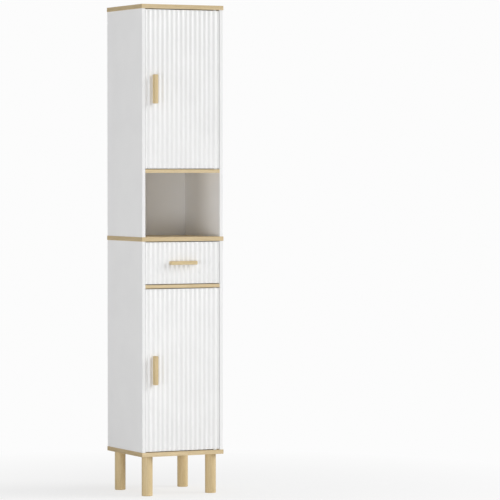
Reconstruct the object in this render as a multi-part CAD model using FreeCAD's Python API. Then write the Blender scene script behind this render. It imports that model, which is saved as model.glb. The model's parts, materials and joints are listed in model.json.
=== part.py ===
import FreeCAD, Part
import os

Vector = FreeCAD.Vector

# Carcass boards and the bays between them, millimetres
board_width = 312.0  # top, middle and bottom boards, side to side
board_depth = 300.0  # the same boards, front to back
board_thickness = 15.0
board_overhang = 2.0  # how far those boards stand past the sides and the front
board_easing = 1.0  # rounding of their edges
side_thickness = 12.0
side_easing = 0.6  # rounding of the side panels' front edges
divider_thickness = 12.0  # niche shelf and drawer divider
back_thickness = 3.0
back_setback = 8.0  # from the rear edges to the back panels
back_groove_depth = 4.0
lower_bay_height = 567.5
drawer_bay_height = 150.0
niche_height = 222.0
upper_bay_height = 554.0

# Legs and what holds them
leg_height = 137.5
leg_diameter = 38.0
leg_inset = 34.5  # leg axis from the board's edges
leg_easing = 1.5  # rounding of the foot
leg_bolt_diameter = 8.0
leg_bolt_bite = 32.0  # length in the leg
leg_insert_diameter = 12.0
leg_insert_skin = 2.0  # board left above the threaded insert

# Adjustable shelves on their pins
shelf_thickness = 15.0
shelf_setback = 36.0  # shelf front behind the side panels' front edges
shelf_clearance = 0.5  # at the sides and the back
pin_diameter = 5.0
pin_bite = 8.5  # length in the side panel
pin_reach = 7.5  # length under the shelf
pin_collar_diameter = 8.0
pin_collar_thickness = 1.5
pin_hole_count = 3
pin_hole_pitch = 64.0
pin_front_setback = 60.0
pin_rear_setback = 45.0
upper_pin_height = 256.0  # middle hole above the bay's floor
lower_pin_height = 282.5

# Fluted fronts
front_thickness = 15.0
front_gap = 2.5  # above and below each front
front_side_gap = 1.2
front_easing_share = 0.1  # rounding of the fronts' upright edges, in flute pitches
flute_count = 16  # across the bay
flute_depth = 3.2

# Door pivots
pivot_from_side = 16.0  # pivot axis from the right-hand panel's inner face
pivot_from_front = 6.5  # pivot axis behind the front plane
hinge_pin_diameter = 5.0
hinge_pin_bite = 25.0  # length in the door
hinge_pin_end_gap = 0.5  # between the pin's end and the bottom of its socket
running_clearance = 0.05  # radial, between pin and bush
bush_diameter = 8.0
bush_flange_diameter = 12.5
bush_flange_thickness = 1.0
bush_skin = 4.0  # board left behind the bush
collar_diameter = 10.0
collar_clearance = 0.3  # between the lower pin's collar and the bush flange

# Bar handles
handle_length = 100.0
handle_width = 12.5
handle_depth = 16.0  # how far a handle stands out of the front plane
handle_rounding = 2.0
handle_screw_inset = 10.0  # screws from the bar's ends
handle_flute = 6  # flutes from the door's middle to the handle
handle_socket_clearance = 0.2
handle_screw_diameter = 4.0
handle_screw_bite = 13.0  # length in the handle

# Magnetic catches and strikes
catch_drop = 88.0  # catch centre below the bay's ceiling
catch_height = 36.0
catch_width = 17.0
catch_housing_depth = 12.0
catch_flange_thickness = 3.0
catch_flange_depth = 26.0
catch_gap = 0.4  # between the pole plates and the strike
catch_screw_spacing = 20.0
magnet_height = 22.0
magnet_width = 6.0
magnet_depth = 8.0
pole_thickness = 1.2
pole_reach = 0.5  # how far the pole plates stand out of the housing
strike_length = 50.0
strike_width = 13.0
strike_thickness = 1.5
strike_from_side = 12.0  # strike centre from the left-hand panel's inner face

# Drawer box and runners
drawer_rear_gap = 22.0  # between the box and the back panel
drawer_top_gap = 28.0  # between the box and the middle board
drawer_lift = 12.0  # box above the drawer divider
drawer_board_thickness = 12.0
drawer_side_gap = 2.0  # between box and side panels
drawer_bottom_thickness = 3.0
drawer_bottom_lift = 8.0  # bottom above the box's lower edges
drawer_groove_depth = 5.0
drawer_screw_margin = 20.0  # box screws from the upper and lower edges
drawer_screw_bite = 25.0
drawer_front_screw_inset = 32.0  # screws that hold the fluted front, from the box's inner side faces
drawer_front_screw_spacing = 50.0  # the same screws, one above the other
drawer_front_screw_bite = 8.0
runner_height = 14.0
runner_thickness = 8.0
runner_clearance = 0.4  # all round, in the drawer's grooves
runner_lead = 15.0  # runner's front end behind the fluted front
runner_tail = 5.0  # runner's rear end before the box's
runner_screw_count = 3
runner_screw_margin = 25.0
runner_screw_bite = 8.0

# Fastenings
hole_clearance = 0.1  # radial, and at the bottom of blind holes
bite_skin = 3.5  # board left behind a blind fastening
cam_diameter = 15.0
cam_skin = 2.5  # board left behind a cam lock
cam_reach = 42.0  # cam lock from the joint
cam_setback = 70.0  # cam joints from the front and rear edges
cam_slot_length = 8.0
cam_slot_width = 1.6
cam_slot_depth = 1.2
cam_bolt_thread_diameter = 6.0
cam_bolt_shank_diameter = 5.0
cam_bolt_head_diameter = 6.8
cam_bolt_head_length = 6.0
dowel_diameter = 6.0
dowel_bite = 20.0  # length in the board end
dowel_setback = 35.0  # dowels from the front and rear edges
end_screw_diameter = 5.0
end_screw_bite = 35.0  # length in the panel end
end_screw_setback = 100.0
small_screw_diameter = 3.0
small_screw_bite = 9.0
head_ratio = 2.0  # screw head across, in screw diameters
head_height_ratio = 0.6  # screw head height, in screw diameters
recess_ratio = 1.2  # cross recess length, in screw diameters
recess_width_ratio = 0.25
recess_depth_ratio = 0.3

# Planes and levels that the pieces share
side_outer_x = board_width / 2 - board_overhang
side_inner_x = side_outer_x - side_thickness
side_middle_x = side_outer_x - side_thickness / 2
bay_width = 2 * side_inner_x
panel_depth = board_depth - board_overhang
rear_y = (panel_depth + handle_depth) / 2
front_y = rear_y - panel_depth
board_front_y = rear_y - board_depth
back_rear_y = rear_y - back_setback
back_front_y = back_rear_y - back_thickness
front_back_y = front_y + front_thickness
bottom_board_z = leg_height
lower_bay_z = bottom_board_z + board_thickness
divider_z = lower_bay_z + lower_bay_height
drawer_bay_z = divider_z + divider_thickness
middle_board_z = drawer_bay_z + drawer_bay_height
niche_z = middle_board_z + board_thickness
niche_shelf_z = niche_z + niche_height
upper_bay_z = niche_shelf_z + divider_thickness
top_board_z = upper_bay_z + upper_bay_height
flute_pitch = bay_width / flute_count
front_easing = front_easing_share * flute_pitch
pivot_x = side_inner_x - pivot_from_side
pivot_y = front_y + pivot_from_front
strike_x = strike_from_side - side_inner_x
drawer_box_x = side_inner_x - drawer_side_gap
drawer_inner_x = drawer_box_x - drawer_board_thickness
drawer_box_depth = back_front_y - drawer_rear_gap - front_back_y
drawer_side_height = drawer_bay_height - drawer_lift - drawer_top_gap
drawer_front_screw_x = drawer_inner_x - drawer_front_screw_inset
runner_length = drawer_box_depth - runner_lead - runner_tail

overshoot = 1.0  # how far a cutting tool runs past the face it opens
mostly = 0.5  # least share of a direction along an axis for an edge to run that way
touching = 0.001  # distance within which an edge lies on a plane
up = Vector(0, 0, 1)
down = Vector(0, 0, -1)
rearward = Vector(0, 1, 0)
forward = Vector(0, -1, 0)
rightward = Vector(1, 0, 0)
leftward = Vector(-1, 0, 0)

parts = {}


def block(x_span, y_span, z_span):
    low = Vector(x_span[0], y_span[0], z_span[0])
    return Part.makeBox(x_span[1] - x_span[0], y_span[1] - y_span[0], z_span[1] - z_span[0], low)


def rod(diameter, start, direction, length):
    return Part.makeCylinder(diameter / 2, length, start, direction)


def eased(solid, radius, wanted):
    # rounds the straight edges that the test picks by their direction and middle
    edges = [edge for edge in solid.Edges if wanted(edge.tangentAt(edge.FirstParameter), edge.CenterOfMass)]
    return solid.makeFillet(radius, edges)


def turned(solid, origin, x_axis, z_axis):
    # carries a solid from its own axes to a place in the cabinet
    y_axis = z_axis.cross(x_axis)
    place = FreeCAD.Matrix(
        x_axis.x, y_axis.x, z_axis.x, origin.x,
        x_axis.y, y_axis.y, z_axis.y, origin.y,
        x_axis.z, y_axis.z, z_axis.z, origin.z,
        0, 0, 0, 1)
    moved = solid.copy()
    moved.Placement = FreeCAD.Placement(place)
    return moved


def side_axis(side):
    return rightward if side > 0 else leftward


def cross_recess(diameter, point, direction):
    # driver slots sunk in a screw head whose top is at the point
    arm = rightward if abs(direction.x) < mostly else up
    length = recess_ratio * diameter
    width = recess_width_ratio * diameter
    depth = recess_depth_ratio * diameter
    slots = []
    for size_x, size_y in ((length, width), (width, length)):
        corner = Vector(-size_x / 2, -size_y / 2, -overshoot)
        slot = Part.makeBox(size_x, size_y, depth + overshoot, corner)
        slots.append(turned(slot, point, arm, direction))
    return slots


def flat_screw_body(diameter, point, direction, length, spare=0.0):
    # countersunk head with its top at the point, then the shank
    head_height = head_height_ratio * diameter
    head_radius = head_ratio * diameter / 2 + spare
    shank_radius = diameter / 2 + spare
    head = Part.makeCone(head_radius, shank_radius, head_height, point, direction)
    shank = Part.makeCylinder(shank_radius, length + spare, point, direction)
    return head.fuse(shank).removeSplitter()


def flat_screw(diameter, point, direction, length):
    screw = flat_screw_body(diameter, point, direction, length)
    hole = flat_screw_body(diameter, point, direction, length, hole_clearance)
    return screw.cut(cross_recess(diameter, point, direction)), hole


def pan_screw(diameter, seat, direction, length):
    # round head standing on the seat, then the shank
    head_height = head_height_ratio * diameter
    top = seat - direction * head_height
    head = rod(head_ratio * diameter, top, direction, head_height)
    head = eased(head, head_height / 2, lambda along, middle: abs((middle - top).dot(direction)) < touching)
    shank = rod(diameter, seat, direction, length)
    hole = rod(diameter + 2 * hole_clearance, seat, direction, length + hole_clearance)
    return head.fuse(shank).removeSplitter().cut(cross_recess(diameter, top, direction)), hole


def dowel(point, direction, thickness):
    # peg across a joint, with its hole in both boards
    bite = thickness - bite_skin
    start = point - direction * bite
    peg = rod(dowel_diameter, start, direction, bite + dowel_bite)
    hole_start = start - direction * hole_clearance
    hole_length = bite + dowel_bite + 2 * hole_clearance
    return peg, rod(dowel_diameter + 2 * hole_clearance, hole_start, direction, hole_length)


def cam_joint(point, bolt_axis, cam_axis, board, panel):
    # A bolt stands in one board at the joint and a cam lock in the other grips its head.
    # In the joint's own axes the bolt runs along z and the cam's pocket opens along x.
    bite = board - bite_skin
    cam_depth = panel - cam_skin
    face = panel / 2
    origin = Vector(0, 0, 0)
    centre = Vector(face - cam_depth, 0, cam_reach)
    head_start = Vector(0, 0, cam_reach - cam_bolt_head_length / 2)
    thread = rod(cam_bolt_thread_diameter, Vector(0, 0, -bite), up, bite)
    shank = rod(cam_bolt_shank_diameter, origin, up, cam_reach)
    head = rod(cam_bolt_head_diameter, head_start, up, cam_bolt_head_length)
    bolt = thread.fuse([shank, head]).removeSplitter()
    bore = cam_bolt_head_diameter + 2 * hole_clearance
    bore_end = cam_reach + cam_bolt_head_length / 2 + hole_clearance
    bolt_bore = rod(bore, Vector(0, 0, -overshoot), up, bore_end + overshoot)
    cam_slots = []
    for size_y, size_z in ((cam_slot_length, cam_slot_width), (cam_slot_width, cam_slot_length)):
        corner = Vector(face - cam_slot_depth, -size_y / 2, cam_reach - size_z / 2)
        cam_slots.append(Part.makeBox(cam_slot_depth + overshoot, size_y, size_z, corner))
    cam = rod(cam_diameter, centre, rightward, cam_depth).cut([bolt_bore] + cam_slots)
    pocket_start = centre - rightward * hole_clearance
    pocket_length = cam_depth + hole_clearance + overshoot
    pocket = rod(cam_diameter + 2 * hole_clearance, pocket_start, rightward, pocket_length)
    thread_hole_start = Vector(0, 0, -bite - hole_clearance)
    thread_hole = rod(cam_bolt_thread_diameter + 2 * hole_clearance, thread_hole_start, up, bite + overshoot)
    placed = []
    for solid in (bolt, cam, thread_hole, bolt_bore, pocket):
        placed.append(turned(solid, point, cam_axis, bolt_axis))
    return placed[0], placed[1], placed[2], placed[3:]


def board_blank(low_z):
    # top, middle or bottom board, eased all round
    half = board_width / 2
    blank = block((-half, half), (board_front_y, rear_y), (low_z, low_z + board_thickness))
    return eased(blank, board_easing, lambda along, middle: True)


def side_blank(side, low_z, high_z):
    spans = sorted((side * side_outer_x, side * side_inner_x))
    blank = block(spans, (front_y, rear_y), (low_z, high_z))
    return eased(blank, side_easing,
                 lambda along, middle: abs(along.z) > mostly and middle.y < front_y + side_easing)


def divider_blank(low_z):
    span = (-side_inner_x, side_inner_x)
    return block(span, (front_y, back_front_y), (low_z, low_z + divider_thickness))


def back_panel_spans(low_z, high_z, spare):
    half = side_inner_x + back_groove_depth - hole_clearance + spare
    reach = back_groove_depth - hole_clearance + spare
    return (-half, half), (back_front_y - spare, back_rear_y + spare), (low_z - reach, high_z + reach)


def fluted_front(low_z, high_z):
    # A wave of equal arcs, crest and valley in turn, with a crest on the middle line.
    half_wave = flute_pitch / 2
    edges = []
    for step in range(-flute_count, flute_count + 1):
        start = Vector((step - 0.5) * half_wave, front_y + flute_depth / 2, low_z)
        end = Vector((step + 0.5) * half_wave, front_y + flute_depth / 2, low_z)
        turn = Vector(step * half_wave, front_y + flute_depth * (step % 2), low_z)
        edges.append(Part.Arc(start, turn, end).toShape())
    span = (flute_count + 0.5) * half_wave
    corners = [Vector(span, front_y + flute_depth / 2, low_z), Vector(span, front_back_y, low_z),
               Vector(-span, front_back_y, low_z), Vector(-span, front_y + flute_depth / 2, low_z)]
    for start, end in zip(corners, corners[1:]):
        edges.append(Part.LineSegment(start, end).toShape())
    wave = Part.Face(Part.Wire(edges)).extrude(up * (high_z - low_z))
    half_width = side_inner_x - front_side_gap
    outline = block((-half_width, half_width), (front_y - overshoot, front_back_y), (low_z, high_z))
    edge_x = half_width - touching
    return eased(wave.common(outline), front_easing,
                 lambda along, middle: abs(middle.x) > edge_x and middle.y < front_y + flute_depth)


def bar_handle(x, z, along):
    # Returns the bar, the flat socket that it is let into and the places of its two screws.
    # In the handle's own axes the bar runs along x and faces along minus y.
    cross = up if along is rightward else leftward
    origin = Vector(x, front_y, z)
    half_length = handle_length / 2
    half_width = handle_width / 2
    bar = block((-half_length, half_length), (-handle_depth, flute_depth), (-half_width, half_width))
    bar = eased(bar, handle_rounding,
                lambda line, middle: abs(line.y) > mostly or middle.y < -handle_depth + handle_rounding / 2)
    spare = handle_socket_clearance
    socket = block((-half_length - spare, half_length + spare), (-overshoot, flute_depth),
                   (-half_width - spare, half_width + spare))
    screw_reach = half_length - handle_screw_inset
    screw_points = [origin + along * (end * screw_reach) for end in (-1, 1)]
    return turned(bar, origin, along, cross), turned(socket, origin, along, cross), screw_points


def handle_set(name, x, z, along, seat_y):
    # A handle with its screws; returns the tools that cut its socket and the screw holes.
    bar, socket, screw_points = bar_handle(x, z, along)
    screws = []
    holes = []
    for point in screw_points:
        seat = Vector(point.x, seat_y, point.z)
        length = seat_y - front_y - flute_depth + handle_screw_bite
        screw, hole = pan_screw(handle_screw_diameter, seat, forward, length)
        screws.append(screw)
        holes.append(hole)
    parts[name + "_handle"] = bar.cut(holes)
    parts[name + "_handle_screws"] = Part.makeCompound(screws)
    return socket, holes


def hinge_pin(name, socket_z, into_board, thickness, door_edge_z, collar):
    # Pin in the door's edge that turns in a flanged bush let into the board.
    bush_length = thickness - bush_skin
    socket = Vector(pivot_x, pivot_y, socket_z)
    edge = Vector(pivot_x, pivot_y, door_edge_z)
    start = edge - into_board * hinge_pin_bite
    length = hinge_pin_bite + front_gap + bush_length - hinge_pin_end_gap
    pin = rod(hinge_pin_diameter, start, into_board, length)
    if collar:
        collar_height = front_gap - bush_flange_thickness - collar_clearance
        pin = pin.fuse(rod(collar_diameter, edge, into_board, collar_height)).removeSplitter()
    parts[name] = pin
    bush = rod(bush_diameter, socket, into_board, bush_length)
    flange_start = socket - into_board * bush_flange_thickness
    bush = bush.fuse(rod(bush_flange_diameter, flange_start, into_board, bush_flange_thickness))
    bore = rod(hinge_pin_diameter + 2 * running_clearance, flange_start - into_board * overshoot, into_board,
               bush_length + bush_flange_thickness + 2 * overshoot)
    bush = bush.removeSplitter().cut(bore)
    board_cut = rod(bush_diameter + 2 * hole_clearance, socket - into_board * overshoot, into_board,
                    bush_length + overshoot)
    door_cut = rod(hinge_pin_diameter + 2 * hole_clearance, start - into_board * hole_clearance, into_board,
                   hinge_pin_bite + hole_clearance + overshoot)
    return bush, board_cut, door_cut


def strike_set(name, z):
    # Oblong steel plate on the door's inner face, with two countersunk screws.
    seat = Vector(strike_x, front_back_y, z)
    half_run = (strike_length - strike_width) / 2
    middle = block((strike_x - strike_width / 2, strike_x + strike_width / 2),
                   (front_back_y, front_back_y + strike_thickness), (z - half_run, z + half_run))
    ends = [rod(strike_width, seat + up * (end * half_run), rearward, strike_thickness) for end in (-1, 1)]
    plate = middle.fuse(ends).removeSplitter()
    screws = []
    holes = []
    for end in (-1, 1):
        point = seat + rearward * strike_thickness + up * (end * half_run)
        screw, hole = flat_screw(small_screw_diameter, point, forward, strike_thickness + small_screw_bite)
        screws.append(screw)
        holes.append(hole)
    parts[name + "_strike_plate"] = plate.cut(holes)
    parts[name + "_strike_screws"] = Part.makeCompound(screws)
    return holes


def catch_set(name, z):
    # Magnetic catch on the left-hand panel: housing with a screw flange, magnet and two pole plates.
    wall = -side_inner_x
    pole_front_y = front_back_y + strike_thickness + catch_gap
    housing_front_y = pole_front_y + pole_reach
    z_span = (z - catch_height / 2, z + catch_height / 2)
    housing_y = (housing_front_y, housing_front_y + catch_housing_depth)
    flange_y = (housing_front_y, housing_front_y + catch_flange_depth)
    housing = block((wall, wall + catch_width), housing_y, z_span)
    flange = block((wall, wall + catch_flange_thickness), flange_y, z_span)
    body = housing.fuse(flange).removeSplitter()
    magnet_z = (z - magnet_height / 2, z + magnet_height / 2)
    magnet_rear_y = housing_front_y + magnet_depth
    half_magnet = magnet_width / 2
    magnet_x = (strike_x - half_magnet, strike_x + half_magnet)
    magnet = block(magnet_x, (housing_front_y, magnet_rear_y), magnet_z)
    poles = []
    for side in (-1, 1):
        faces = sorted((strike_x + side * half_magnet, strike_x + side * (half_magnet + pole_thickness)))
        poles.append(block(faces, (pole_front_y, magnet_rear_y), magnet_z))
    half_pocket = half_magnet + pole_thickness + hole_clearance
    pocket = block((strike_x - half_pocket, strike_x + half_pocket),
                   (housing_front_y - overshoot, magnet_rear_y),
                   (magnet_z[0] - hole_clearance, magnet_z[1] + hole_clearance))
    screw_y = housing_front_y + (catch_housing_depth + catch_flange_depth) / 2
    screws = []
    holes = []
    for end in (-1, 1):
        point = Vector(wall + catch_flange_thickness, screw_y, z + end * catch_screw_spacing / 2)
        length = catch_flange_thickness + side_thickness - bite_skin
        screw, hole = flat_screw(small_screw_diameter, point, leftward, length)
        screws.append(screw)
        holes.append(hole)
    parts[name + "_catch_body"] = body.cut([pocket] + holes)
    parts[name + "_catch_magnet"] = magnet
    parts[name + "_catch_pole_plates"] = Part.makeCompound(poles)
    return screws, holes


def door(name, bay_z, bay_height, floor_thickness, ceiling_thickness):
    # A fluted door in its bay; returns the bushes and the cuts for the boards and the side panel.
    low_z = bay_z + front_gap
    ceiling_z = bay_z + bay_height
    high_z = ceiling_z - front_gap
    middle_z = (low_z + high_z) / 2
    catch_z = ceiling_z - catch_drop
    low_bush, floor_cut, low_cut = hinge_pin(name + "_bottom_pin", bay_z, down, floor_thickness, low_z, True)
    high_bush, ceiling_cut, high_cut = hinge_pin(name + "_top_pin", ceiling_z, up, ceiling_thickness,
                                                 high_z, False)
    socket, handle_holes = handle_set(name, -handle_flute * flute_pitch, middle_z, up, front_back_y)
    strike_holes = strike_set(name, catch_z)
    catch_screws, panel_cuts = catch_set(name, catch_z)
    cuts = [low_cut, high_cut, socket] + handle_holes + strike_holes
    parts[name + "_panel"] = fluted_front(low_z, high_z).cut(cuts)
    return [low_bush, high_bush], floor_cut, ceiling_cut, catch_screws, panel_cuts


def drawer():
    # Fluted front on a box that hangs by grooves on two runners; returns the cuts for the side panels.
    low_z = drawer_bay_z + drawer_lift
    z_span = (low_z, low_z + drawer_side_height)
    middle_z = low_z + drawer_side_height / 2
    rear_end_y = front_back_y + drawer_box_depth
    inner_front_y = front_back_y + drawer_board_thickness
    inner_rear_y = rear_end_y - drawer_board_thickness
    front_low_z = drawer_bay_z + front_gap
    front_high_z = middle_board_z - front_gap
    front_middle_z = (front_low_z + front_high_z) / 2

    bottom_z = low_z + drawer_bottom_lift
    reach = drawer_groove_depth - hole_clearance
    bottom_x = (-drawer_inner_x - reach, drawer_inner_x + reach)
    bottom_spans = (bottom_x, (inner_front_y - reach, inner_rear_y + reach))
    parts["drawer_bottom"] = block(*bottom_spans, (bottom_z, bottom_z + drawer_bottom_thickness))
    groove_spans = [(span[0] - hole_clearance, span[1] + hole_clearance) for span in bottom_spans]
    bottom_groove = block(*groove_spans, (bottom_z - hole_clearance,
                                          bottom_z + drawer_bottom_thickness + hole_clearance))

    corner_screws = []
    corner_holes = []
    for side in (-1, 1):
        for y in (front_back_y + drawer_board_thickness / 2, rear_end_y - drawer_board_thickness / 2):
            for z in (z_span[0] + drawer_screw_margin, z_span[1] - drawer_screw_margin):
                point = Vector(side * drawer_box_x, y, z)
                screw, hole = flat_screw(handle_screw_diameter, point, side_axis(-side),
                                         drawer_board_thickness + drawer_screw_bite)
                corner_screws.append(screw)
                corner_holes.append(hole)
    parts["drawer_box_screws"] = Part.makeCompound(corner_screws)

    front_screws = []
    front_holes = []
    for x in (-drawer_front_screw_x, drawer_front_screw_x):
        for end in (-1, 1):
            seat = Vector(x, inner_front_y, front_middle_z + end * drawer_front_screw_spacing / 2)
            screw, hole = pan_screw(handle_screw_diameter, seat, forward,
                                    drawer_board_thickness + drawer_front_screw_bite)
            front_screws.append(screw)
            front_holes.append(hole)
    parts["drawer_front_screws"] = Part.makeCompound(front_screws)

    socket, handle_holes = handle_set("drawer", 0.0, front_middle_z, rightward, inner_front_y)
    parts["drawer_front"] = fluted_front(front_low_z, front_high_z).cut([socket] + handle_holes + front_holes)
    inner_front = block((-drawer_inner_x, drawer_inner_x), (front_back_y, inner_front_y), z_span)
    parts["drawer_inner_front"] = inner_front.cut([bottom_groove] + corner_holes + front_holes + handle_holes)
    back = block((-drawer_inner_x, drawer_inner_x), (inner_rear_y, rear_end_y), z_span)
    parts["drawer_back"] = back.cut([bottom_groove] + corner_holes)

    runner_y = front_back_y + runner_lead
    runner_z = (middle_z - runner_height / 2, middle_z + runner_height / 2)
    runner_screws = []
    panel_cuts = {}
    for side, word in ((-1, "left"), (1, "right")):
        spans = sorted((side * drawer_box_x, side * drawer_inner_x))
        groove_bottom = side * (side_inner_x - runner_thickness - runner_clearance)
        groove_x = sorted((side * (drawer_box_x + overshoot), groove_bottom))
        groove = block(groove_x, (runner_y - runner_clearance, rear_end_y + overshoot),
                       (runner_z[0] - runner_clearance, runner_z[1] + runner_clearance))
        stock = block(spans, (front_back_y, rear_end_y), z_span)
        parts["drawer_%s_side" % word] = stock.cut([groove, bottom_groove] + corner_holes)
        runner_face = side * (side_inner_x - runner_thickness)
        runner_x = sorted((side * side_inner_x, runner_face))
        runner = block(runner_x, (runner_y, runner_y + runner_length), runner_z)
        panel_cuts[side] = []
        step = (runner_length - 2 * runner_screw_margin) / (runner_screw_count - 1)
        for index in range(runner_screw_count):
            point = Vector(runner_face, runner_y + runner_screw_margin + index * step, middle_z)
            screw, hole = flat_screw(small_screw_diameter, point, side_axis(side),
                                     runner_thickness + runner_screw_bite)
            runner_screws.append(screw)
            panel_cuts[side].append(hole)
        parts["drawer_%s_runner" % word] = runner.cut(panel_cuts[side])
    parts["drawer_runner_screws"] = Part.makeCompound(runner_screws)
    return panel_cuts


def adjustable_shelf(name, bay_z, pin_height):
    # Loose shelf on four pins; returns the pin holes for each side panel.
    middle_pin_z = bay_z + pin_height
    shelf_z = middle_pin_z + pin_diameter / 2
    half = side_inner_x - shelf_clearance
    parts[name] = block((-half, half), (front_y + shelf_setback, back_front_y - shelf_clearance),
                        (shelf_z, shelf_z + shelf_thickness))
    pins = []
    holes = {-1: [], 1: []}
    for side in (-1, 1):
        outward = side_axis(side)
        for y in (front_y + pin_front_setback, rear_y - pin_rear_setback):
            wall = Vector(side * side_inner_x, y, middle_pin_z)
            start = wall - outward * pin_reach
            peg = rod(pin_diameter, start, outward, pin_reach + pin_bite)
            collar_start = wall - outward * pin_collar_thickness
            collar = rod(pin_collar_diameter, collar_start, outward, pin_collar_thickness)
            under_shelf = block((-side_outer_x, side_outer_x), (front_y, rear_y), (bay_z, shelf_z))
            pins.append(peg.fuse(collar).removeSplitter().common(under_shelf))
            for index in range(pin_hole_count):
                rise = (index - (pin_hole_count - 1) / 2) * pin_hole_pitch
                mouth = wall + up * rise - outward * overshoot
                holes[side].append(rod(pin_diameter + 2 * hole_clearance, mouth, outward,
                                       overshoot + pin_bite + hole_clearance))
    parts[name + "_pins"] = Part.makeCompound(pins)
    return holes


def legs():
    # Round legs on hanger bolts; returns the cuts for the bottom board's threaded inserts.
    leg_x = board_width / 2 - leg_inset
    bolts = []
    inserts = []
    board_cuts = []
    insert_height = board_thickness - leg_insert_skin
    for y, row in ((board_front_y + leg_inset, "front"), (rear_y - leg_inset, "back")):
        for x, word in ((-leg_x, "left"), (leg_x, "right")):
            foot = Vector(x, y, 0)
            joint = foot + up * leg_height
            stock = rod(leg_diameter, foot, up, leg_height)
            stock = eased(stock, leg_easing,
                          lambda along, middle: middle.z < leg_easing and abs(along.z) < mostly)
            hole_depth = leg_bolt_bite + hole_clearance
            hole = rod(leg_bolt_diameter + 2 * hole_clearance, joint - up * hole_depth, up,
                       hole_depth + overshoot)
            parts["leg_%s_%s" % (row, word)] = stock.cut(hole)
            bolt_length = leg_bolt_bite + insert_height
            bolts.append(rod(leg_bolt_diameter, joint - up * leg_bolt_bite, up, bolt_length))
            ring = rod(leg_insert_diameter, joint, up, insert_height)
            inserts.append(ring.cut(rod(leg_bolt_diameter + 2 * hole_clearance, joint - up * overshoot, up,
                                        insert_height + 2 * overshoot)))
            board_cuts.append(rod(leg_insert_diameter + 2 * hole_clearance, joint - up * overshoot, up,
                                  insert_height + hole_clearance + overshoot))
    parts["leg_bolts"] = Part.makeCompound(bolts)
    parts["leg_inserts"] = Part.makeCompound(inserts)
    return board_cuts


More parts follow.
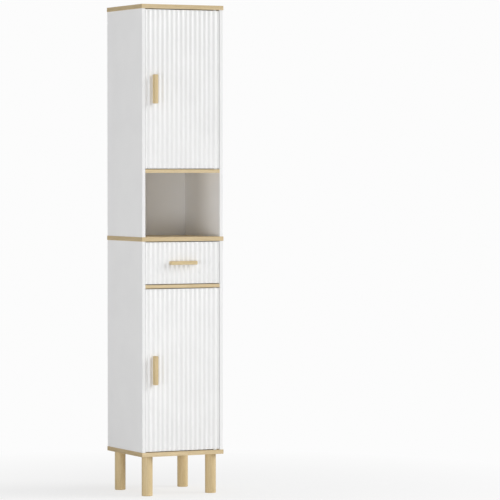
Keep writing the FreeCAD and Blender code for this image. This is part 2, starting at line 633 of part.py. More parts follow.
def carcass():
    # Boards, side panels, dividers and backs with everything that joins them.
    board_names = ("top_board", "middle_board", "bottom_board", "niche_shelf", "drawer_divider")
    panel_names = ("upper_left_side", "upper_right_side", "lower_left_side", "lower_right_side")
    cuts = {name: [] for name in board_names + panel_names}
    cam_bolts = []
    cam_locks = []
    dowels = []
    end_screws = []

    def cam_row(setback, place):
        for y in (front_y + setback, rear_y - setback):
            yield place(y)

    def join_with_cams(bolted, gripped, make_point, bolt_axis, cam_axis, bolted_thickness, gripped_thickness):
        # two cam joints and two dowels along one board end
        for point in cam_row(cam_setback, make_point):
            bolt, cam, bolt_hole, lock_cuts = cam_joint(point, bolt_axis, cam_axis, bolted_thickness,
                                                        gripped_thickness)
            cam_bolts.append(bolt)
            cam_locks.append(cam)
            cuts[bolted].append(bolt_hole)
            cuts[gripped].extend(lock_cuts)
        for point in cam_row(dowel_setback, make_point):
            peg, hole = dowel(point, bolt_axis, bolted_thickness)
            dowels.append(peg)
            cuts[bolted].append(hole)
            cuts[gripped].append(hole)

    def join_with_screws(board, panel, make_point):
        # two long screws up through a board into the end of the panel that stands on it
        for point in cam_row(end_screw_setback, make_point):
            screw, hole = flat_screw(end_screw_diameter, point, up, board_thickness + end_screw_bite)
            end_screws.append(screw)
            cuts[board].append(hole)
            cuts[panel].append(hole)

    for side, word in ((-1, "left"), (1, "right")):
        x = side * side_middle_x
        wall_x = side * side_inner_x
        inward = side_axis(-side)
        upper = "upper_%s_side" % word
        lower = "lower_%s_side" % word
        join_with_cams("top_board", upper, lambda y: Vector(x, y, top_board_z), down, inward,
                       board_thickness, side_thickness)
        join_with_cams("middle_board", lower, lambda y: Vector(x, y, middle_board_z), down, inward,
                       board_thickness, side_thickness)
        shelf_middle_z = niche_shelf_z + divider_thickness / 2
        divider_middle_z = divider_z + divider_thickness / 2
        join_with_cams(upper, "niche_shelf", lambda y: Vector(wall_x, y, shelf_middle_z), inward, up,
                       side_thickness, divider_thickness)
        join_with_cams(lower, "drawer_divider", lambda y: Vector(wall_x, y, divider_middle_z), inward, down,
                       side_thickness, divider_thickness)
        join_with_screws("middle_board", upper, lambda y: Vector(x, y, middle_board_z))
        join_with_screws("bottom_board", lower, lambda y: Vector(x, y, bottom_board_z))
    parts["cam_bolts"] = Part.makeCompound(cam_bolts)
    parts["cam_locks"] = Part.makeCompound(cam_locks)
    parts["dowels"] = Part.makeCompound(dowels)
    parts["end_screws"] = Part.makeCompound(end_screws)

    backs = {"upper_back_panel": (niche_z, top_board_z), "lower_back_panel": (lower_bay_z, middle_board_z)}
    back_grooves = []
    for name, levels in backs.items():
        parts[name] = block(*back_panel_spans(*levels, 0.0))
        back_grooves.append(block(*back_panel_spans(*levels, hole_clearance)))
    for name in cuts:
        if name not in ("niche_shelf", "drawer_divider"):
            cuts[name].extend(back_grooves)

    bushes = []
    catch_screws = []
    doors = (("upper_door", upper_bay_z, upper_bay_height, "niche_shelf", divider_thickness,
              "top_board", board_thickness, "upper_left_side"),
             ("lower_door", lower_bay_z, lower_bay_height, "bottom_board", board_thickness,
              "drawer_divider", divider_thickness, "lower_left_side"))
    for name, bay_z, bay_height, floor, floor_thickness, ceiling, ceiling_thickness, latch_side in doors:
        new_bushes, floor_cut, ceiling_cut, screws, panel_cuts = door(
            name, bay_z, bay_height, floor_thickness, ceiling_thickness)
        bushes.extend(new_bushes)
        catch_screws.extend(screws)
        cuts[floor].append(floor_cut)
        cuts[ceiling].append(ceiling_cut)
        cuts[latch_side].extend(panel_cuts)
    parts["pivot_bushes"] = Part.makeCompound(bushes)
    parts["catch_screws"] = Part.makeCompound(catch_screws)

    shelf_rows = (("upper_shelf", upper_bay_z, upper_pin_height, "upper_%s_side"),
                  ("lower_shelf", lower_bay_z, lower_pin_height, "lower_%s_side"))
    for name, bay_z, pin_height, panel in shelf_rows:
        holes = adjustable_shelf(name, bay_z, pin_height)
        cuts[panel % "left"].extend(holes[-1])
        cuts[panel % "right"].extend(holes[1])
    runner_cuts = drawer()
    cuts["lower_left_side"].extend(runner_cuts[-1])
    cuts["lower_right_side"].extend(runner_cuts[1])
    cuts["bottom_board"].extend(legs())

    parts["top_board"] = board_blank(top_board_z).cut(cuts["top_board"])
    parts["middle_board"] = board_blank(middle_board_z).cut(cuts["middle_board"])
    parts["bottom_board"] = board_blank(bottom_board_z).cut(cuts["bottom_board"])
    parts["niche_shelf"] = divider_blank(niche_shelf_z).cut(cuts["niche_shelf"])
    parts["drawer_divider"] = divider_blank(divider_z).cut(cuts["drawer_divider"])
    for side, word in ((-1, "left"), (1, "right")):
        upper = "upper_%s_side" % word
        lower = "lower_%s_side" % word
        parts[upper] = side_blank(side, niche_z, top_board_z).cut(cuts[upper])
        parts[lower] = side_blank(side, lower_bay_z, middle_board_z).cut(cuts[lower])


carcass()
os.makedirs("parts", exist_ok=True)
for name, shape in sorted(parts.items()):
    shape.exportStep(os.path.join("parts", name + ".step"))
    facts = (name, len(shape.Solids), shape.Volume, shape.isValid())
    print("%-28s solids %2d  volume %10.1f  valid %s" % facts)
print("nodes", len(parts))
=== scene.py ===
import json
import math
import bpy
import numpy as np
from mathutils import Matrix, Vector


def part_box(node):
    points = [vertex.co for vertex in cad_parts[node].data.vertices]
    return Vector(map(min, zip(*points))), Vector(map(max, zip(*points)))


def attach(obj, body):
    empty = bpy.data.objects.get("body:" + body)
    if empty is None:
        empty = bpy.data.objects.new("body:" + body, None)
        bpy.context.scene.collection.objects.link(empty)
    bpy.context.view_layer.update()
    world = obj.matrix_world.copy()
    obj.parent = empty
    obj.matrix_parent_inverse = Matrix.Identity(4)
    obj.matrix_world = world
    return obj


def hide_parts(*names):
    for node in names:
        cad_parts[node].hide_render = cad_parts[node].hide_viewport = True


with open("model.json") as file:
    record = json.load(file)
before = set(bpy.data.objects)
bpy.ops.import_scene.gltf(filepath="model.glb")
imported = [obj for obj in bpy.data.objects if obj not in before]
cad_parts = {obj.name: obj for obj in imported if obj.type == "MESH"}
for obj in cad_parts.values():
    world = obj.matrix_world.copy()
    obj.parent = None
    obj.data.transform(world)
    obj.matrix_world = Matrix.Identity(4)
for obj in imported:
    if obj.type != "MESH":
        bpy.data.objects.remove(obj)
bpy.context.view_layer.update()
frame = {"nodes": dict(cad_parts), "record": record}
nodes = frame["nodes"]
scene = bpy.context.scene
scene.view_settings.view_transform = "Standard"


# small helpers for node trees

def startFinish(name):  # a material with one principled shader, ready for its textures
    material = bpy.data.materials.new(name)
    material.use_nodes = True
    tree = material.node_tree
    tree.nodes.clear()
    output = tree.nodes.new("ShaderNodeOutputMaterial")
    shader = tree.nodes.new("ShaderNodeBsdfPrincipled")
    tree.links.new(shader.outputs["BSDF"], output.inputs["Surface"])
    return material, tree, shader, output


def addNode(tree, kind, **settings):  # a node with some of its properties set
    node = tree.nodes.new(kind)
    for key, value in settings.items():
        setattr(node, key, value)
    return node


def feed(tree, socket, source):  # a link from another node's output, or a plain value
    if isinstance(source, bpy.types.NodeSocket):
        tree.links.new(source, socket)
    else:
        socket.default_value = source


def stretched(tree, vector, scale):  # the pattern's own axes, stretched
    mapping = addNode(tree, "ShaderNodeMapping")
    feed(tree, mapping.inputs["Vector"], vector)
    feed(tree, mapping.inputs["Scale"], scale)
    return mapping.outputs["Vector"]


def noise(tree, vector, scale, detail, roughness=0.5, distortion=0.0):
    node = addNode(tree, "ShaderNodeTexNoise")
    feed(tree, node.inputs["Vector"], vector)
    feed(tree, node.inputs["Scale"], scale)
    feed(tree, node.inputs["Detail"], detail)
    feed(tree, node.inputs["Roughness"], roughness)
    feed(tree, node.inputs["Distortion"], distortion)
    return node.outputs["Fac"]


def spread(tree, value, span, result=(0.0, 1.0)):  # one span of values mapped to another, the ends held
    node = addNode(tree, "ShaderNodeMapRange", clamp=True)
    feed(tree, node.inputs["Value"], value)
    feed(tree, node.inputs["From Min"], span[0])
    feed(tree, node.inputs["From Max"], span[1])
    feed(tree, node.inputs["To Min"], result[0])
    feed(tree, node.inputs["To Max"], result[1])
    return node.outputs["Result"]


def sums(tree, operation, first, second=0.0):  # one step of arithmetic
    node = addNode(tree, "ShaderNodeMath", operation=operation)
    feed(tree, node.inputs[0], first)
    feed(tree, node.inputs[1], second)
    return node.outputs["Value"]


def mixed(tree, share, first, second, kind="RGBA", blend="MIX"):  # two colours or two vectors, by share
    node = addNode(tree, "ShaderNodeMix", data_type=kind, blend_type=blend)
    feed(tree, node.inputs["Factor"], share)
    feed(tree, node.inputs["A"], first)
    feed(tree, node.inputs["B"], second)
    return node.outputs["Result"]


def relief(tree, shader, height, look):  # bump from a height, the depth in metres
    node = addNode(tree, "ShaderNodeBump")
    node.inputs["Strength"].default_value = look["bump"]
    node.inputs["Distance"].default_value = look["depth"]
    feed(tree, node.inputs["Height"], height)
    tree.links.new(node.outputs["Normal"], shader.inputs["Normal"])


def along(tree, normal, axis):  # how squarely the surface faces along an axis, from -1 to 1
    split = addNode(tree, "ShaderNodeSeparateXYZ")
    feed(tree, split.inputs["Vector"], normal)
    return split.outputs[axis]


def rgba(colour):
    return (*colour, 1.0)


noiseSpan = (0.3, 0.7)  # where a noise's values mostly lie
noiseHeart = (0.35, 0.65)  # a narrower span, for a clearer change


# oak: growth bands, long fibres, short dark pores, a satin lacquer

oakLook = {
    "board": {"pale": (0.720, 0.576, 0.354), "middle": (0.590, 0.456, 0.256),
              "dark": (0.420, 0.305, 0.152)},
    "solid": {"pale": (0.700, 0.556, 0.316), "middle": (0.590, 0.452, 0.240),
              "dark": (0.440, 0.318, 0.152)},
    "poreTone": (0.31, 0.21, 0.105),
    "endTone": (0.77, 0.74, 0.65),  # the bands on the boards' two end edges are a little darker
    "endSpan": (0.6, 0.8),  # how squarely a face looks sideways to count as an end edge
    "bands": {"scale": 38.0, "detail": 4.0, "roughness": 0.55, "distortion": 0.6},
    "fibres": {"scale": 420.0, "detail": 5.0, "roughness": 0.65},
    "pores": {"scale": 1800.0, "detail": 2.0},
    "fibreSpan": (0.42, 0.75),
    "fibreShare": (0.0, 0.55),
    "poreSpan": (0.62, 0.74),
    "poreShare": (0.0, 0.6),
    "along": 0.045,  # how slowly the pattern changes along the grain
    "gloss": (0.42, 0.58),
    "bump": 0.25,
    "depth": 0.0002,
}


def oakFinish(name, look, grain, bandedEnds=False):
    # three noises stretched along the grain: wide bands, fine fibres and sparse dark pores, mixed by share
    material, tree, shader, _ = startFinish(name)
    place = addNode(tree, "ShaderNodeTexCoord")
    scale = [1.0, 1.0, 1.0]
    scale[grain] = oakLook["along"]
    vector = stretched(tree, place.outputs["Object"], scale)
    if bandedEnds:  # the bands on the two end edges have their own grain, along the edge
        turned = stretched(tree, place.outputs["Object"], (1.0, oakLook["along"], 1.0))
        sideways = sums(tree, "ABSOLUTE", along(tree, place.outputs["Normal"], "X"))
        onEnd = spread(tree, sideways, oakLook["endSpan"])
        vector = mixed(tree, onEnd, vector, turned, kind="VECTOR")
    bands = noise(tree, vector, **oakLook["bands"])
    fibres = noise(tree, vector, **oakLook["fibres"])
    pores = noise(tree, vector, **oakLook["pores"])
    tone = mixed(tree, spread(tree, bands, noiseHeart), rgba(look["pale"]), rgba(look["middle"]))
    fibreShare = spread(tree, fibres, oakLook["fibreSpan"], oakLook["fibreShare"])
    tone = mixed(tree, fibreShare, tone, rgba(look["dark"]))
    poreShare = spread(tree, pores, oakLook["poreSpan"], oakLook["poreShare"])
    tone = mixed(tree, poreShare, tone, rgba(oakLook["poreTone"]))
    if bandedEnds:
        tone = mixed(tree, onEnd, tone, rgba(oakLook["endTone"]), blend="MULTIPLY")
    feed(tree, shader.inputs["Base Color"], tone)
    feed(tree, shader.inputs["Roughness"], spread(tree, fibres, noiseSpan, oakLook["gloss"]))
    relief(tree, shader, sums(tree, "SUBTRACT", fibres, poreShare), oakLook)
    return material


# white faces: painted fluted board and melamine-faced board, both with a faint peel

whiteLook = {
    "painted": {"tone": (0.862, 0.862, 0.860), "shade": (0.838, 0.838, 0.836), "peelScale": 1400.0,
                "gloss": (0.34, 0.42), "bump": 0.3, "depth": 0.00006},
    "melamine": {"tone": (0.852, 0.852, 0.852), "shade": (0.832, 0.832, 0.833), "peelScale": 2600.0,
                 "gloss": (0.42, 0.52), "bump": 0.3, "depth": 0.00004},
    "drift": {"scale": 9.0, "detail": 3.0},
    "peelDetail": 2.0,
}


def whiteFinish(name, look):
    # a slow drift between two near whites, a fine peel in the bump and a roughness that follows it
    material, tree, shader, _ = startFinish(name)
    place = addNode(tree, "ShaderNodeTexCoord").outputs["Object"]
    drift = noise(tree, place, **whiteLook["drift"])
    peel = noise(tree, place, look["peelScale"], whiteLook["peelDetail"])
    tone = mixed(tree, spread(tree, drift, noiseHeart), rgba(look["tone"]), rgba(look["shade"]))
    feed(tree, shader.inputs["Base Color"], tone)
    feed(tree, shader.inputs["Roughness"], spread(tree, peel, noiseSpan, look["gloss"]))
    relief(tree, shader, peel, look)
    return material


# hardboard: white inside, brown pressed fibre behind

hardboardLook = {
    "white": (0.848, 0.846, 0.842),
    "fibre": (0.40, 0.27, 0.16),
    "fleck": (0.27, 0.17, 0.09),
    "flecks": {"scale": 260.0, "detail": 5.0, "roughness": 0.7, "distortion": 1.2},
    "fleckSpan": (0.4, 0.7),
    "rearSpan": (0.5, 0.9),  # how squarely a face looks to the rear to show the fibre
    "gloss": (0.48, 0.62),
    "bump": 0.2,
    "depth": 0.0001,
}


def hardboardFinish(name, look):
    # the face turned to the rear shows pressed fibre flecks, every other face the white coat
    material, tree, shader, _ = startFinish(name)
    place = addNode(tree, "ShaderNodeTexCoord")
    behind = spread(tree, along(tree, place.outputs["Normal"], "Y"), look["rearSpan"])
    flecks = noise(tree, place.outputs["Object"], **look["flecks"])
    fibre = mixed(tree, spread(tree, flecks, look["fleckSpan"]), rgba(look["fibre"]), rgba(look["fleck"]))
    feed(tree, shader.inputs["Base Color"], mixed(tree, behind, rgba(look["white"]), fibre))
    feed(tree, shader.inputs["Roughness"], spread(tree, flecks, noiseSpan, look["gloss"]))
    relief(tree, shader, flecks, look)
    return material


# fittings: plated steel, dark screws, cast zinc, a nickel-plated magnet, moulded plastic and raw beech

fittingLook = {
    "steel": {"tone": (0.54, 0.54, 0.55), "stain": (0.44, 0.44, 0.44), "grain": 900.0,
              "gloss": (0.28, 0.44), "metal": 1.0},
    "screw": {"tone": (0.20, 0.20, 0.21), "stain": (0.13, 0.13, 0.135), "grain": 1100.0,
              "gloss": (0.34, 0.50), "metal": 1.0},
    "zinc": {"tone": (0.20, 0.20, 0.205), "stain": (0.13, 0.13, 0.132), "grain": 700.0,
             "gloss": (0.42, 0.60), "metal": 1.0},
    "nickel": {"tone": (0.70, 0.69, 0.67), "stain": (0.60, 0.59, 0.57), "grain": 1500.0,
               "gloss": (0.45, 0.60), "metal": 1.0},
    "plastic": {"tone": (0.84, 0.84, 0.82), "stain": (0.80, 0.80, 0.78), "grain": 1800.0,
                "gloss": (0.40, 0.50), "metal": 0.0},
    "beech": {"tone": (0.60, 0.42, 0.26), "stain": (0.48, 0.32, 0.18), "grain": 300.0,
              "gloss": (0.55, 0.70), "metal": 0.0},
    "grainDetail": 4.0,
    "grainRoughness": 0.6,
    "bump": 0.15,
    "depth": 0.00005,
}


def fittingFinish(name, look):
    # mottled tone and roughness from one noise, with a very shallow bump
    material, tree, shader, _ = startFinish(name)
    place = addNode(tree, "ShaderNodeTexCoord").outputs["Object"]
    grain = noise(tree, place, look["grain"], fittingLook["grainDetail"], fittingLook["grainRoughness"])
    tone = mixed(tree, spread(tree, grain, noiseHeart), rgba(look["tone"]), rgba(look["stain"]))
    feed(tree, shader.inputs["Base Color"], tone)
    feed(tree, shader.inputs["Roughness"], spread(tree, grain, noiseSpan, look["gloss"]))
    shader.inputs["Metallic"].default_value = look["metal"]
    relief(tree, shader, grain, fittingLook)
    return material


acrossGrain, uprightGrain = 0, 2  # the object's axis that the grain follows
boardOak = oakFinish("boardOak", oakLook["board"], acrossGrain, bandedEnds=True)
uprightOak = oakFinish("uprightOak", oakLook["solid"], uprightGrain)
levelOak = oakFinish("levelOak", oakLook["solid"], acrossGrain)
paintedWhite = whiteFinish("paintedWhite", whiteLook["painted"])
slotFinishes = {
    "oak_board": boardOak,
    "solid_oak": uprightOak,
    "white_front": paintedWhite,
    "white_board": whiteFinish("melamineWhite", whiteLook["melamine"]),
    "white_hardboard": hardboardFinish("hardboard", hardboardLook),
    "beech": fittingFinish("rawBeech", fittingLook["beech"]),
    "steel": fittingFinish("platedSteel", fittingLook["steel"]),
    "dark_steel": fittingFinish("darkScrew", fittingLook["screw"]),
    "zinc": fittingFinish("castZinc", fittingLook["zinc"]),
    "magnet": fittingFinish("platedNickel", fittingLook["nickel"]),
    "white_plastic": fittingFinish("mouldedPlastic", fittingLook["plastic"]),
}
for row in frame["record"]["subparts"]:
    slots = nodes[row["node"]].data.materials
    slots.clear()
    slots.append(slotFinishes[row["material_slot"]])
print("finishes:", len(bpy.data.materials))


# pieces made here

def gridFaces(rows, columns):  # quads between neighbouring rows, with the columns closed into a ring
    row, column = np.meshgrid(np.arange(rows - 1), np.arange(columns), indexing="ij")
    after = (column + 1) % columns
    here, above = row * columns, (row + 1) * columns
    corners = (here + column, here + after, above + after, above + column)
    return np.stack(corners, axis=-1).reshape(-1, 4).tolist()


def shellFaces(rows, columns):  # the grid's quads with its first and last row closed by one face each
    first = list(range(columns))[::-1]
    last = list(range((rows - 1) * columns, rows * columns))
    return gridFaces(rows, columns) + [first, last]


def addPiece(piece, points, faces, finish, sharp):  # a closed shell in place of a CAD node
    mesh = bpy.data.meshes.new(piece["name"])
    mesh.from_pydata(points.reshape(-1, 3).tolist(), [], faces)
    mesh.validate()
    mesh.shade_smooth()
    mesh.set_sharp_from_angle(angle=math.radians(sharp))
    mesh.materials.append(finish)
    shell = bpy.data.objects.new(piece["name"], mesh)
    scene.collection.objects.link(shell)
    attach(shell, piece["body"])
    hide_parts(piece["node"])


def easeIn(distance, radius):  # how far a rounded edge falls away, at a distance in from the edge
    inside = np.clip(radius - distance, 0.0, radius)
    return radius - np.sqrt(radius ** 2 - inside ** 2)


# fluted fronts

fluteLook = {
    "flutes": 16,  # across the bay
    "depth": 0.0032,
    "arcSteps": 10,  # straight steps along one crest or valley
    "sideRounding": 0.1,  # of the two upright edges, in flute pitches
    "sideSteps": 10,
    "endEasing": 0.0006,  # of the upper and lower edges
    "endSteps": 5,
    "socketSpare": 0.0002,  # room around a handle
    "socketWall": 0.00001,  # a socket's walls lean by this much
    "sharp": 35.0,  # degrees from which an edge stays sharp
}
fronts = [
    {"name": "upperDoorFluted", "node": "upper_door_panel", "body": "upper_door",
     "bar": "upper_door_handle"},
    {"name": "lowerDoorFluted", "node": "lower_door_panel", "body": "lower_door",
     "bar": "lower_door_handle"},
    {"name": "drawerFluted", "node": "drawer_front", "body": "drawer",
     "bar": "drawer_handle"},
]
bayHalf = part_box("niche_shelf")[1].x
halfPitch = bayHalf / fluteLook["flutes"]
sideRadius = fluteLook["sideRounding"] * 2 * halfPitch


def fluteWave(x):
    # crest and valley arcs in turn, each half a pitch wide: a crest falls away from the front plane by
    # the arc's own rise, a valley comes up from the full depth by the same rise, and a crest lies on the
    # middle line
    rise = fluteLook["depth"] / 2
    radius = (halfPitch ** 2 / 4 + rise ** 2) / (2 * rise)
    step = np.round(x / halfPitch)
    fall = radius - np.sqrt(radius ** 2 - (x - step * halfPitch) ** 2)
    return np.where(step % 2 == 0, fall, fluteLook["depth"] - fall), radius


def frontDepth(x, edge):
    # the wave, with the last crest rounded over into the upright edge: a circle that touches the crest's
    # arc from inside and the edge's plane, so its centre is one arc radius less its own from the arc's
    wave, arc = fluteWave(x)
    centre = edge - sideRadius
    reach = bayHalf - centre
    depth = arc - math.sqrt((arc - sideRadius) ** 2 - reach ** 2)
    touch = bayHalf - reach * arc / (arc - sideRadius)
    across = np.clip(np.abs(x) - centre, -sideRadius, sideRadius)
    rounded = depth - np.sqrt(sideRadius ** 2 - across ** 2)
    return np.where(np.abs(x) > touch, rounded, wave), centre, touch


def buildFront(front):
    # a closed upright section of face, top edge, flat back and bottom edge, carried across the width: the
    # face lies at the depth of the rounded wave, or at the full flute depth inside the handle's socket
    low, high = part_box(front["node"])
    barLow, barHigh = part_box(front["bar"])
    spare, lean = fluteLook["socketSpare"], fluteLook["socketWall"]
    xSocket = np.array((barLow.x - spare, barHigh.x + spare))
    zSocket = np.array((barLow.z - spare, barHigh.z + spare))
    xWalls = np.concatenate((xSocket, xSocket + (-lean, lean)))
    zWalls = np.concatenate((zSocket, zSocket + (-lean, lean)))
    centre, touch = frontDepth(np.zeros(1), high.x)[1:]
    step = halfPitch / fluteLook["arcSteps"]
    count = math.floor(touch / step)
    regular = np.arange(-count, count + 1) * step
    turn = np.linspace(math.asin((touch - centre) / sideRadius), math.pi / 2, fluteLook["sideSteps"])
    rounded = centre + sideRadius * np.sin(turn)
    x = np.unique(np.concatenate((-rounded, regular, rounded, xWalls)))
    fall = fluteLook["endEasing"] * (1 - np.cos(np.linspace(0.0, math.pi / 2, fluteLook["endSteps"])))
    zFace = np.unique(np.concatenate((low.z + fall, high.z - fall, zWalls)))
    xGrid, zGrid = np.meshgrid(x, zFace, indexing="ij")
    besideSocket = (xGrid < xSocket[0]) | (xGrid > xSocket[1]) | (zGrid < zSocket[0]) | (zGrid > zSocket[1])
    sunk = np.where(besideSocket, frontDepth(xGrid, high.x)[0], fluteLook["depth"])
    sunk = sunk + easeIn(np.minimum(zGrid - low.z, high.z - zGrid), fluteLook["endEasing"])
    face = np.stack((xGrid, low.y + sunk, zGrid), axis=-1)
    xBack, zBack = np.meshgrid(x, (high.z, low.z), indexing="ij")
    back = np.stack((xBack, np.full_like(xBack, high.y), zBack), axis=-1)
    points = np.concatenate((face, back), axis=1)
    faces = [corners[::-1] for corners in shellFaces(*points.shape[:2])]  # turned to look outward
    addPiece(front, points, faces, paintedWhite, fluteLook["sharp"])


for front in fronts:
    buildFront(front)
print("fluted fronts:", len(fronts))


# bar handles

barLook = {
    "rounding": 0.002,  # of all edges that show
    "cornerSteps": 8,
    "frontSteps": 8,
    "flatShare": 0.04,  # of the rounding, left at its last step
    "sharp": 40.0,
}
bars = [
    {"name": "upperDoorBar", "node": "upper_door_handle", "body": "upper_door", "finish": uprightOak},
    {"name": "lowerDoorBar", "node": "lower_door_handle", "body": "lower_door", "finish": uprightOak},
    {"name": "drawerBar", "node": "drawer_handle", "body": "drawer", "finish": levelOak},
]


def buildBar(bar):
    # a ring with four quarter-round corners, carried from the back of the bar to its front, where the ring
    # draws in along a quarter circle: its corner circles keep their centres and lose the same radius
    low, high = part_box(bar["node"])
    middle = (low + high) / 2
    radius = barLook["rounding"]
    corner = np.repeat(np.arange(4), barLook["cornerSteps"])
    angle = np.tile(np.linspace(0.0, math.pi / 2, barLook["cornerSteps"]), 4) + corner * math.pi / 2
    sideways = np.where((corner == 0) | (corner == 3), 1.0, -1.0) * ((high.x - low.x) / 2 - radius)
    upward = np.where(corner < 2, 1.0, -1.0) * ((high.z - low.z) / 2 - radius)
    turn = np.linspace(0.0, math.acos(barLook["flatShare"]), barLook["frontSteps"])
    level = np.concatenate(([high.y], low.y + radius * (1 - np.sin(turn))))
    reach = np.concatenate(([radius], radius * np.cos(turn)))
    points = np.stack((middle.x + sideways + reach[:, None] * np.cos(angle),
                       np.broadcast_to(level[:, None], (len(level), len(angle))),
                       middle.z + upward + reach[:, None] * np.sin(angle)), axis=-1)
    addPiece(bar, points, shellFaces(*points.shape[:2]), bar["finish"], barLook["sharp"])


for bar in bars:
    buildBar(bar)
print("bar handles:", len(bars))


# round legs

legLook = {"footEasing": 0.0015, "topEasing": 0.0004, "easingSteps": 6, "around": 96, "sharp": 40.0}
legs = [
    {"name": "legFrontLeft", "node": "leg_front_left", "body": "carcass"},
    {"name": "legFrontRight", "node": "leg_front_right", "body": "carcass"},
    {"name": "legBackLeft", "node": "leg_back_left", "body": "carcass"},
    {"name": "legBackRight", "node": "leg_back_right", "body": "carcass"},
]


def buildLeg(leg):
    # a profile turned round the leg's axis: rounded foot, straight shaft, barely eased top and flat ends
    low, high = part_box(leg["node"])
    middle = (low + high) / 2
    radius = (high.x - low.x) / 2
    turn = np.linspace(0.0, math.pi / 2, legLook["easingSteps"])
    foot, top = legLook["footEasing"], legLook["topEasing"]
    reach = np.concatenate((radius - foot * (1 - np.sin(turn)), radius - top * (1 - np.cos(turn))))
    height = np.concatenate((low.z + foot * (1 - np.cos(turn)), high.z - top * (1 - np.sin(turn))))
    angle = np.arange(legLook["around"]) * 2 * math.pi / legLook["around"]
    points = np.stack((middle.x + reach[:, None] * np.cos(angle),
                       middle.y + reach[:, None] * np.sin(angle),
                       np.broadcast_to(height[:, None], (len(height), len(angle)))), axis=-1)
    addPiece(leg, points, shellFaces(*points.shape[:2]), uprightOak, legLook["sharp"])


for leg in legs:
    buildLeg(leg)
print("legs:", len(legs))


# floor, light and camera

levelTilt = 90.0  # degrees that turn a lamp or a camera from looking down to looking level
studio = {
    "ambient": 0.37,  # the surround as it lights the cabinet
    "background": 0.973,  # the surround as it is seen
    "keyStrength": 2.02,
    "keyTurn": 63.0,  # degrees to the right of the front
    "keyRise": 25.0,  # degrees above level
    "keySoftness": 35.0,  # degrees across
    "fills": [  # watts and metres
        {"name": "frontFill", "power": 30.5, "place": (-2.0, -3.45, 0.45), "size": (2.4, 0.85)},
        {"name": "sideFill", "power": 155.0, "place": (-9.0, -3.9, 0.5), "size": (3.6, 0.9)},
    ],
    "fillAim": (0.0, -0.15, 0.95),
    "floorTone": 0.94,
    "floorRoughness": 0.9,
    "floorSheen": 0.0,
    "floorHub": 0.3,  # radius of the floor's inner face, metres
    "floorReach": 30.0,
    "floorSides": 64,
    "fadeSpan": (0.3, 1.6),  # where the floor turns to the backdrop
    "nearShare": 0.72,  # of the backdrop in the floor close to the cabinet
}
cameraLook = {
    "place": (-4.4806, -9.7540, 1.1312),
    "dip": 1.511,  # degrees below level
    "turn": -26.249,  # degrees from looking straight at the front
    "lens": 220.32,  # millimetres, like the sensor
    "sensor": 36.0,
}


def seenDirectly(tree):  # 1 for rays from the camera, a reflection or a clear surface
    path = addNode(tree, "ShaderNodeLightPath")
    seen = sums(tree, "MAXIMUM", path.outputs["Is Camera Ray"], path.outputs["Is Glossy Ray"])
    return sums(tree, "MAXIMUM", seen, path.outputs["Is Transmission Ray"])


def mixShaders(tree, share, first, second, output):
    mix = addNode(tree, "ShaderNodeMixShader")
    tree.links.new(share, mix.inputs[0])
    tree.links.new(first.outputs[0], mix.inputs[1])
    tree.links.new(second.outputs[0], mix.inputs[2])
    tree.links.new(mix.outputs[0], output.inputs["Surface"])


def glow(tree, kind, strength):  # plain white light of a given strength
    node = addNode(tree, kind)
    node.inputs["Color"].default_value = rgba((1.0, 1.0, 1.0))
    node.inputs["Strength"].default_value = strength
    return node


def buildWorld():  # a plain white surround, brighter where it is seen than where it lights
    world = bpy.data.worlds.new("studio")
    world.use_nodes = True
    tree = world.node_tree
    tree.nodes.clear()
    output = addNode(tree, "ShaderNodeOutputWorld")
    light = glow(tree, "ShaderNodeBackground", studio["ambient"])
    backdrop = glow(tree, "ShaderNodeBackground", studio["background"])
    mixShaders(tree, seenDirectly(tree), light, backdrop, output)
    scene.world = world


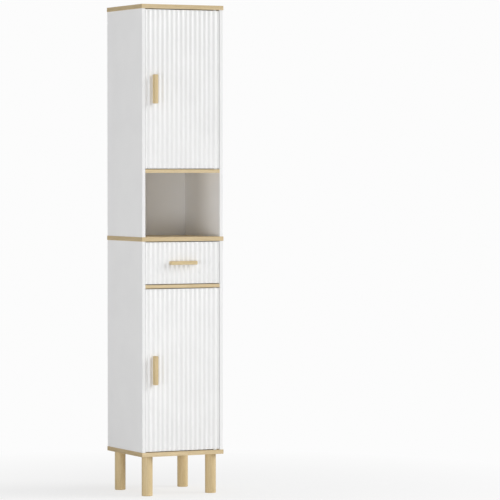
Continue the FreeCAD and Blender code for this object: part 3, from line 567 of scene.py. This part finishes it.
def buildFloor():
    # a flat disc that shows some of its own shade near the cabinet and fades to the backdrop further out
    ring = np.array((studio["floorHub"], studio["floorReach"]))[:, None]
    angle = np.arange(studio["floorSides"]) * 2 * math.pi / studio["floorSides"]
    level = np.zeros((len(ring), len(angle)))
    points = np.stack((ring * np.cos(angle), ring * np.sin(angle), level), axis=-1)
    mesh = bpy.data.meshes.new("floor")
    faces = gridFaces(len(ring), len(angle)) + [list(range(len(angle)))]
    mesh.from_pydata(points.reshape(-1, 3).tolist(), [], faces)
    material, tree, shader, output = startFinish("paleFloor")
    shader.inputs["Base Color"].default_value = rgba((studio["floorTone"],) * 3)
    shader.inputs["Roughness"].default_value = studio["floorRoughness"]
    shader.inputs["Specular IOR Level"].default_value = studio["floorSheen"]
    distance = addNode(tree, "ShaderNodeVectorMath", operation="LENGTH")
    feed(tree, distance.inputs[0], addNode(tree, "ShaderNodeTexCoord").outputs["Object"])
    share = spread(tree, distance.outputs["Value"], studio["fadeSpan"], (studio["nearShare"], 1.0))
    backdrop = glow(tree, "ShaderNodeEmission", studio["background"])
    mixShaders(tree, sums(tree, "MULTIPLY", share, seenDirectly(tree)), shader, backdrop, output)
    mesh.materials.append(material)
    floor = bpy.data.objects.new("floor", mesh)
    scene.collection.objects.link(floor)


def addLamp(name, kind):
    lamp = bpy.data.lights.new(name, kind)
    holder = bpy.data.objects.new(name, lamp)
    holder.visible_camera = False
    scene.collection.objects.link(holder)
    return lamp, holder


def buildLamps():
    # a soft key from the right that models the flutes, and two low broad fills from the left that reach
    # into the niche
    key, holder = addLamp("keyLamp", "SUN")
    key.energy = studio["keyStrength"]
    key.angle = math.radians(studio["keySoftness"])
    tilt = math.radians(levelTilt - studio["keyRise"])
    holder.rotation_euler = (tilt, 0.0, math.radians(studio["keyTurn"]))
    for row in studio["fills"]:
        fill, holder = addLamp(row["name"], "AREA")
        fill.energy = row["power"]
        fill.shape = "RECTANGLE"
        fill.size, fill.size_y = row["size"]
        holder.location = row["place"]
        aim = Vector(studio["fillAim"]) - holder.location
        holder.rotation_euler = aim.to_track_quat("-Z", "Y").to_euler()


def buildCamera():
    camera = bpy.data.cameras.new("camera")
    camera.sensor_width = cameraLook["sensor"]
    camera.lens = cameraLook["lens"]
    holder = bpy.data.objects.new("camera", camera)
    holder.location = cameraLook["place"]
    tilt = math.radians(levelTilt - cameraLook["dip"])
    holder.rotation_euler = (tilt, 0.0, math.radians(cameraLook["turn"]))
    scene.collection.objects.link(holder)
    scene.camera = holder


buildWorld()
buildFloor()
buildLamps()
buildCamera()
print("studio ready")
